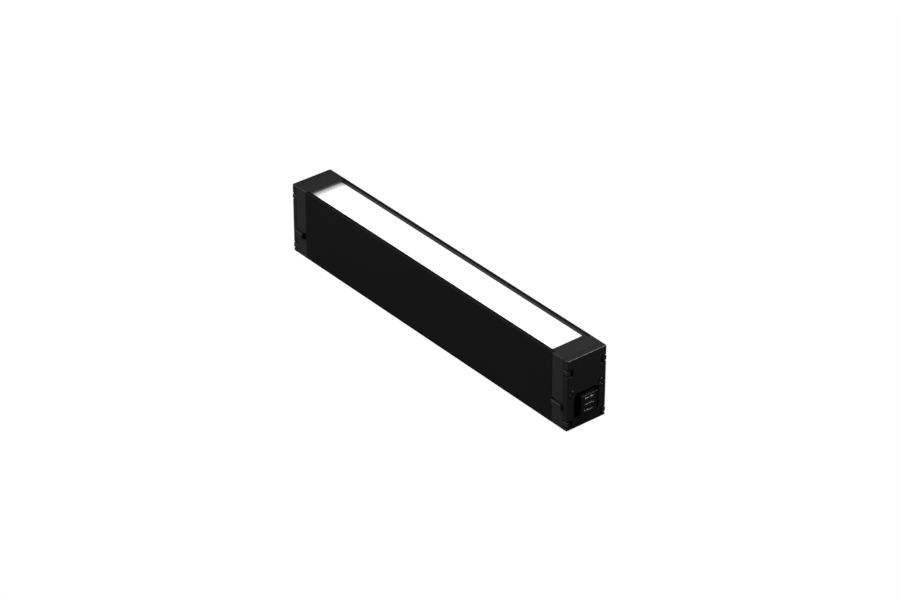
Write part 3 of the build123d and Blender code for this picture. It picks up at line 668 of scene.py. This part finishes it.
def bowed_leaf(name, low, high):
    """A sheet swept round an arc about an upright line, bowed towards the middle of the bar."""
    side = 1 if low[1] + high[1] > 0 else -1
    middle_x = (low[0] + high[0]) / 2
    half_span = (high[0] - low[0]) / 2
    sagitta = leaf_rest - leaf_seat
    arc = (half_span**2 + sagitta**2) / (2 * sagitta)
    half_angle = math.asin(half_span / arc)
    centre = Vector((middle_x, side * (leaf_seat + arc), (low[2] + high[2]) / 2))
    outward = Vector((-math.sin(half_angle), -side * math.cos(half_angle), 0))
    turn = Matrix((outward, Vector((0, 0, 1)), outward.cross(Vector((0, 0, 1))))).transposed()
    start_clean()
    bpy.ops.mesh.primitive_plane_add(
        size=1.0, location=centre + outward * (arc - leaf_sheet / 2), rotation=turn.to_euler()
    )
    leaf = bpy.context.active_object
    leaf.name = name
    leaf.scale = (leaf_sheet, high[2] - low[2], 1)
    bpy.ops.object.transform_apply(location=True, rotation=True, scale=True)
    bpy.ops.object.mode_set(mode="EDIT")
    bpy.ops.mesh.select_mode(type="FACE")
    bpy.ops.mesh.select_all(action="SELECT")
    bpy.ops.mesh.spin(
        steps=leaf_steps, angle=-side * 2 * half_angle, center=centre, axis=(0, 0, 1), use_auto_merge=False
    )
    close_edit()
    round_edges(leaf, 0.00004, 1, 50.0)
    return leaf


spring_steel = finish(
    "spring_steel", (0.55, 0.54, 0.52), (0.42, 0.42, 0.41), (0.7, 0.69, 0.67),
    0.28, 2400.0, 300.0, 0.4, 0.12, 1.0,
)
for place in ("right_front", "right_rear", "left_front", "left_rear"):
    low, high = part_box(place + "_spring")
    leaf = bowed_leaf(place + "_leaf", low, high)
    leaf.data.materials.append(spring_steel)
    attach(leaf, "fixture")
    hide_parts(place + "_spring")
    side = 1 if low[1] > 0 else -1
    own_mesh(leaf)

# ------------------------------------------------------------------ LED board
# Aluminium-core strip under the lens, with a white solder mask over its copper areas.


def board_finish(name, mask, copper, roughness, scale):
    """A solder mask that shows the copper areas below it as faintly raised, paler fields."""
    made = finish(name, mask, mask, mask, roughness, 2500.0, 60.0, 0.0, 0.1)
    tree = made.node_tree
    shader = tree.nodes["Principled BSDF"]
    place = tree.nodes.new("ShaderNodeTexCoord")
    cells = tree.nodes.new("ShaderNodeTexVoronoi")
    cells.distance = "CHEBYCHEV"
    cells.inputs["Scale"].default_value = scale
    areas = tree.nodes.new("ShaderNodeMath")
    areas.operation = "GREATER_THAN"
    areas.inputs[1].default_value = 0.5
    tint = tree.nodes.new("ShaderNodeMix")
    tint.data_type = "RGBA"
    tint.inputs["A"].default_value = (*mask, 1)
    tint.inputs["B"].default_value = (*copper, 1)
    step = tree.nodes.new("ShaderNodeBump")
    step.inputs["Strength"].default_value = 0.4
    step.inputs["Distance"].default_value = 0.00004
    tree.links.new(place.outputs["Object"], cells.inputs["Vector"])
    tree.links.new(cells.outputs["Color"], areas.inputs[0])
    tree.links.new(areas.outputs["Value"], tint.inputs["Factor"])
    tree.links.new(tint.outputs["Result"], shader.inputs["Base Color"])
    tree.links.new(areas.outputs["Value"], step.inputs["Height"])
    tree.links.new(step.outputs["Normal"], shader.inputs["Normal"])
    return made


white_mask = board_finish("white_solder_mask", (0.80, 0.80, 0.78), (0.88, 0.88, 0.86), 0.35, 120.0)
dress(white_mask, "led_board")

# ------------------------------------------------------------------ LED chips
# Thirty white packages in a row, each with a sunk window of yellow phosphor.
chip_edge = 0.00045
chip_window_depth = 0.00015
led_count = 30
chip_length = 0.0035
chips_low, chips_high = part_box("led_chips")
chip_pitch = (chips_high[0] - chips_low[0] - chip_length) / (led_count - 1)
chip = box_between("led_chip", chips_low, (chips_low[0] + chip_length, chips_high[1], chips_high[2]))
white_package = finish(
    "led_package", (0.82, 0.82, 0.80), (0.76, 0.76, 0.74), (0.85, 0.85, 0.83),
    0.45, 4000.0, 400.0, 0.2, 0.1,
)
phosphor = finish(
    "led_phosphor_gel", (0.90, 0.70, 0.10), (0.82, 0.60, 0.06), (0.92, 0.75, 0.2),
    0.30, 6000.0, 500.0, 0.0, 0.2,
)
chip.data.materials.append(white_package)
chip.data.materials.append(phosphor)
edit_faces(chip, lambda centre, normal: normal.z > 0.5)
bpy.ops.mesh.inset(thickness=chip_edge)
bpy.ops.transform.translate(value=(0, 0, -chip_window_depth))
chip.active_material_index = 1
bpy.ops.object.material_slot_assign()
close_edit()
round_edges(chip, 0.00008, 2)
chip_row = [chip] + [copy_to(chip, (chip_pitch * n, 0, 0)) for n in range(1, led_count)]
chip_row = joined("led_chip_row", chip_row)
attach(chip_row, "fixture")
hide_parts("led_chips")

# ------------------------------------------------------------------ LED board screws
# Four small zinc-plated pan heads that hold the board to the shelf.
small_head_radius = 0.0021
small_head_height = 0.0014
small_shank_radius = 0.00122
small_core_radius = 0.00098
small_pitch = 0.0005
small_tip_radius = 0.0007
small_point = 0.0005
small_neck = 0.0003
small_head_crown = 0.0011
small_low, small_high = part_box("led_board_screws")
board_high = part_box("led_board")[1][2]
profile = [(small_low[2], small_tip_radius), (small_low[2] + small_point, small_core_radius)]
while profile[-1][0] + small_pitch < board_high - small_neck:
    here = profile[-1][0]
    profile += [(here + small_pitch * 0.5, small_shank_radius), (here + small_pitch, small_core_radius)]
profile.append((board_high, small_head_radius))
for n in range(1, 7):
    angle = math.radians(90.0 * n / 6)
    profile.append(
        (
            board_high + small_head_height * math.sin(angle),
            small_head_radius - small_head_crown * (1 - math.cos(angle)),
        )
    )
zinc = finish(
    "zinc_plate", (0.62, 0.62, 0.60), (0.50, 0.51, 0.52), (0.75, 0.75, 0.73),
    0.30, 2200.0, 260.0, 0.5, 0.15, 1.0,
)
small_side = small_high[1] - small_head_radius
small_first = small_low[0] + small_head_radius
small_step = (small_high[0] - small_low[0] - 2 * small_head_radius) / 3
small_screw = turned("board_screw", "Z", (small_first, small_side, 0), profile, 28)
cross_recess(small_screw, "Z", (small_first, small_side, small_high[2]), 0.0011, 0.00026, 0.0007)
small_screw.data.materials.clear()
small_screw.data.materials.append(zinc)
board_screws = [small_screw] + [copy_to(small_screw, (small_step * n, 0, 0)) for n in range(1, 4)]
board_screws = joined("board_pan_screws", board_screws)
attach(board_screws, "fixture")
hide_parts("led_board_screws")

# ------------------------------------------------------------------ reflector
# Folded white sheet along both sides of the LED board, up to the lens.
reflector_white = finish(
    "reflector_white_sheet", (0.86, 0.86, 0.85), (0.80, 0.80, 0.79), (0.9, 0.9, 0.89),
    0.50, 3000.0, 80.0, 0.3, 0.1,
)
dress(reflector_white, "reflector")

# ------------------------------------------------------------------ back fixings and earth stud
# Two clinch nuts and a flush stud pressed into the housing's floor, zinc plated. The ring
# terminal is tinned copper. The thread shows as fine bands in the bores and on the stud.
threaded_zinc = finish(
    "threaded_zinc", (0.62, 0.62, 0.60), (0.50, 0.51, 0.52), (0.75, 0.75, 0.73),
    0.32, 2200.0, 260.0, 0.4, 0.15, 1.0,
)
tree = threaded_zinc.node_tree
place = tree.nodes.new("ShaderNodeTexCoord")
bands = tree.nodes.new("ShaderNodeTexWave")
bands.bands_direction = "Z"
bands.inputs["Scale"].default_value = 449.0
thread = tree.nodes.new("ShaderNodeBump")
thread.inputs["Strength"].default_value = 0.8
thread.inputs["Distance"].default_value = 0.0003
tree.links.new(place.outputs["Object"], bands.inputs["Vector"])
tree.links.new(bands.outputs["Fac"], thread.inputs["Height"])
tree.links.new(thread.outputs["Normal"], tree.nodes["Principled BSDF"].inputs["Normal"])
dress(threaded_zinc, "mounting_inserts", "earth_stud")
dress(zinc, "earth_nut")
dress(tin_plate, "earth_lug")

# ------------------------------------------------------------------ driver board
# Fibreglass board with green solder mask, over a thin insulating sheet on the housing's floor.
green_mask = board_finish("green_solder_mask", (0.010, 0.075, 0.030), (0.020, 0.130, 0.050), 0.30, 190.0)
dress(green_mask, "driver_board")
insulating_sheet = finish(
    "insulating_sheet", (0.62, 0.60, 0.52), (0.55, 0.53, 0.46), (0.7, 0.68, 0.6),
    0.45, 900.0, 90.0, 0.2, 0.3,
)
dress(insulating_sheet, "driver_insulator")

# ------------------------------------------------------------------ terminals
# Two-pole push-in terminals for the mains and LED leads, moulded in green nylon.
terminal_nylon = finish(
    "terminal_nylon", (0.03, 0.22, 0.07), (0.02, 0.17, 0.05), (0.10, 0.34, 0.14),
    0.42, 2600.0, 150.0, 0.4, 0.2,
)
dress(terminal_nylon, "input_terminal", "output_terminal")

# ------------------------------------------------------------------ line fuse
# Glass cartridge with plated end caps and a fine wire between them.
fuse_cap_length = 0.0022
fuse_skin = 0.0002
fuse_low, fuse_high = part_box("line_fuse")
fuse_radius = (fuse_high[2] - fuse_low[2]) / 2
fuse_length = fuse_high[0] - fuse_low[0]
fuse_start = (fuse_low[0], (fuse_low[1] + fuse_high[1]) / 2, (fuse_low[2] + fuse_high[2]) / 2)
fuse_glass = bpy.data.materials.new("fuse_glass")
fuse_glass.use_nodes = True
tree = fuse_glass.node_tree
shader = tree.nodes["Principled BSDF"]
shader.inputs["Transmission Weight"].default_value = 1.0
shader.inputs["IOR"].default_value = 1.47
grain = tree.nodes.new("ShaderNodeGroup")
grain.node_tree = surface_grain
haze = tree.nodes.new("ShaderNodeMapRange")
haze.inputs["To Min"].default_value = 0.02
haze.inputs["To Max"].default_value = 0.10
tree.links.new(grain.outputs["Cloud"], haze.inputs["Value"])
tree.links.new(haze.outputs["Result"], shader.inputs["Roughness"])
tube = turned(
    "fuse_tube",
    "X",
    fuse_start,
    [
        (fuse_cap_length * 0.5, fuse_radius - fuse_skin),
        (fuse_length - fuse_cap_length * 0.5, fuse_radius - fuse_skin),
    ],
    32,
)
tube.data.materials.append(fuse_glass)
wire = turned("fuse_wire", "X", fuse_start, [(0.001, 0.00012), (fuse_length - 0.001, 0.00012)], 12)
wire.data.materials.append(zinc)
end_cap = turned(
    "fuse_cap",
    "X",
    fuse_start,
    [
        (0.0, fuse_radius - 0.0003),
        (0.0003, fuse_radius),
        (fuse_cap_length - 0.0002, fuse_radius),
        (fuse_cap_length, fuse_radius - 0.0001),
    ],
    32,
)
end_cap.data.materials.append(zinc)
far_cap = copy_to(end_cap, (fuse_length - fuse_cap_length, 0, 0))
fuse = joined("glass_fuse", [tube, wire, end_cap, far_cap])
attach(fuse, "fixture")
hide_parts("line_fuse")

# ------------------------------------------------------------------ filter choke
# Ferrite ring lying flat, with nine turns of enamelled wire on each half.
choke_turns = 9
turn_width = 0.00062
choke_wire = 0.0007
choke_low, choke_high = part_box("filter_choke")
choke_centre = ((choke_low[0] + choke_high[0]) / 2, (choke_low[1] + choke_high[1]) / 2, 0)
choke_outer = (choke_high[1] - choke_low[1]) / 2
choke_inner = 0.0027
ferrite = finish(
    "ferrite", (0.055, 0.055, 0.060), (0.085, 0.085, 0.090), (0.12, 0.12, 0.125),
    0.60, 1500.0, 200.0, 0.5, 0.4,
)
enamelled = finish(
    "enamelled_copper", (0.62, 0.24, 0.08), (0.50, 0.17, 0.05), (0.72, 0.34, 0.14),
    0.28, 2600.0, 300.0, 0.4, 0.15, 0.9,
)
core = turned(
    "choke_core",
    "Z",
    choke_centre,
    [
        (choke_low[2] + choke_wire, choke_outer - choke_wire - 0.0004),
        (choke_low[2] + choke_wire + 0.0004, choke_outer - choke_wire),
        (choke_high[2] - choke_wire - 0.0004, choke_outer - choke_wire),
        (choke_high[2] - choke_wire, choke_outer - choke_wire - 0.0004),
    ],
)
bore_start = (choke_centre[0], choke_centre[1], choke_low[2])
cut_away(core, rod_along("bore", "Z", bore_start, choke_high[2] - choke_low[2], choke_inner + choke_wire))
core.data.materials.append(ferrite)
first_turn = box_between(
    "choke_turn",
    (choke_centre[0] + choke_inner, choke_centre[1] - turn_width / 2, choke_low[2]),
    (choke_centre[0] + choke_outer, choke_centre[1] + turn_width / 2, choke_high[2]),
)
round_edges(first_turn, turn_width * 0.4, 3)
first_turn.data.materials.append(enamelled)
choke = [core]
for half in (0, 1):
    for n in range(choke_turns):
        angle = math.pi * half + math.radians(14.0) * (n - (choke_turns - 1) / 2)
        next_turn = copy_to(first_turn)
        bpy.ops.transform.rotate(value=angle, orient_axis="Z", center_override=choke_centre)
        bpy.ops.object.transform_apply(location=True, rotation=True, scale=True)
        choke.append(next_turn)
bpy.data.objects.remove(first_turn, do_unlink=True)
choke = joined("wound_choke", choke)
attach(choke, "fixture")
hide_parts("filter_choke")

# ------------------------------------------------------------------ capacitors
# A boxed film capacitor at the input and two can capacitors in sleeves, each with a crimped
# groove above its foot and a scored vent in its aluminium top.
film_box = finish(
    "film_capacitor_box", (0.72, 0.47, 0.04), (0.64, 0.40, 0.03), (0.80, 0.60, 0.18),
    0.38, 2600.0, 160.0, 0.4, 0.2,
)
dress(film_box, "film_capacitor")
sleeve = finish(
    "capacitor_sleeve", (0.012, 0.014, 0.030), (0.018, 0.020, 0.042), (0.06, 0.06, 0.09),
    0.30, 2600.0, 120.0, 0.3, 0.1,
)
can_top = finish(
    "capacitor_aluminium", (0.72, 0.72, 0.73), (0.62, 0.62, 0.63), (0.8, 0.8, 0.81),
    0.34, 1800.0, 200.0, 0.4, 0.15, 1.0,
)
for name in ("bulk_capacitor", "output_capacitor"):
    low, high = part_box(name)
    radius = (high[0] - low[0]) / 2
    centre = ((low[0] + high[0]) / 2, (low[1] + high[1]) / 2, 0)
    can = turned(
        name + "_can",
        "Z",
        centre,
        [
            (low[2], radius - 0.0006),
            (low[2] + 0.0002, radius - 0.0002),
            (low[2] + 0.0006, radius),
            (low[2] + 0.0016, radius),
            (low[2] + 0.0020, radius - 0.0004),
            (low[2] + 0.0024, radius - 0.0004),
            (low[2] + 0.0028, radius),
            (high[2] - 0.0005, radius),
            (high[2] - 0.0001, radius - 0.0003),
            (high[2], radius - 0.0007),
            (high[2] - 0.0001, radius - 0.0010),
            (high[2] - 0.0003, radius - 0.0011),
        ],
    )
    cross_recess(can, "Z", (centre[0], centre[1], high[2] - 0.0003), radius * 0.55, 0.00012, 0.00015)
    can.data.materials.clear()
    can.data.materials.append(sleeve)
    can.data.materials.append(can_top)
    edit_faces(
        can,
        lambda centre_of, normal: normal.z > 0.2
        and centre_of.z > high[2] - 0.0006
        and math.dist(centre_of[:2], centre[:2]) < radius - 0.0009,
    )
    can.active_material_index = 1
    bpy.ops.object.material_slot_assign()
    close_edit()
    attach(can, "fixture")
    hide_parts(name)

# ------------------------------------------------------------------ rectifier, switch and sink
# The bridge rectifier and the switch transistor are black epoxy packages. The transistor stands
# against a folded plate of bare aluminium.
epoxy = finish(
    "black_epoxy", (0.018, 0.018, 0.019), (0.026, 0.026, 0.027), (0.07, 0.07, 0.07),
    0.55, 1800.0, 200.0, 0.4, 0.35,
)
dress(epoxy, "bridge_rectifier", "switch_transistor")
bare_aluminium = finish(
    "bare_aluminium", (0.72, 0.72, 0.73), (0.60, 0.60, 0.61), (0.82, 0.82, 0.83),
    0.36, 1400.0, 120.0, 0.5, 0.3, 1.0,
)
dress(bare_aluminium, "heat_sink")

# ------------------------------------------------------------------ transformer
# Ferrite core in two halves round a layered winding, whose turns show as fine bands.
dress(ferrite, "transformer_core")
layered = finish(
    "layered_winding", (0.62, 0.24, 0.08), (0.50, 0.17, 0.05), (0.72, 0.34, 0.14),
    0.32, 2600.0, 300.0, 0.3, 0.15, 0.8,
)
tree = layered.node_tree
place = tree.nodes.new("ShaderNodeTexCoord")
bands = tree.nodes.new("ShaderNodeTexWave")
bands.bands_direction = "Z"
bands.inputs["Scale"].default_value = 630.0
rows = tree.nodes.new("ShaderNodeBump")
rows.inputs["Strength"].default_value = 0.9
rows.inputs["Distance"].default_value = 0.0003
tree.links.new(place.outputs["Object"], bands.inputs["Vector"])
tree.links.new(bands.outputs["Fac"], rows.inputs["Height"])
tree.links.new(rows.outputs["Normal"], tree.nodes["Principled BSDF"].inputs["Normal"])
dress(layered, "transformer_coil")

# ------------------------------------------------------------------ wires and clips
# PVC-sleeved wires: three through wires held by white nylon clips on the front wall, the driver's
# mains leads, the earth lead and the pair of LED leads.
wire_sleeves = {
    "black": ((0.010, 0.010, 0.010), ("live_wire", "driver_live_lead", "led_negative_lead")),
    "white": ((0.72, 0.72, 0.70), ("neutral_wire", "driver_neutral_lead")),
    "green": ((0.02, 0.26, 0.05), ("earth_wire", "earth_lead")),
    "red": ((0.45, 0.015, 0.012), ("led_positive_lead",)),
}
for colour, (tint, names) in wire_sleeves.items():
    darker = tuple(value * 0.8 for value in tint)
    paler = tuple(min(1.0, value * 1.3 + 0.02) for value in tint)
    sleeve_pvc = finish("wire_" + colour, tint, darker, paler, 0.34, 3200.0, 180.0, 0.3, 0.15)
    dress(sleeve_pvc, *names)
clip_nylon = finish(
    "clip_nylon", (0.74, 0.73, 0.68), (0.66, 0.65, 0.60), (0.82, 0.81, 0.77),
    0.42, 2600.0, 160.0, 0.3, 0.2,
)
dress(clip_nylon, "wire_clips")
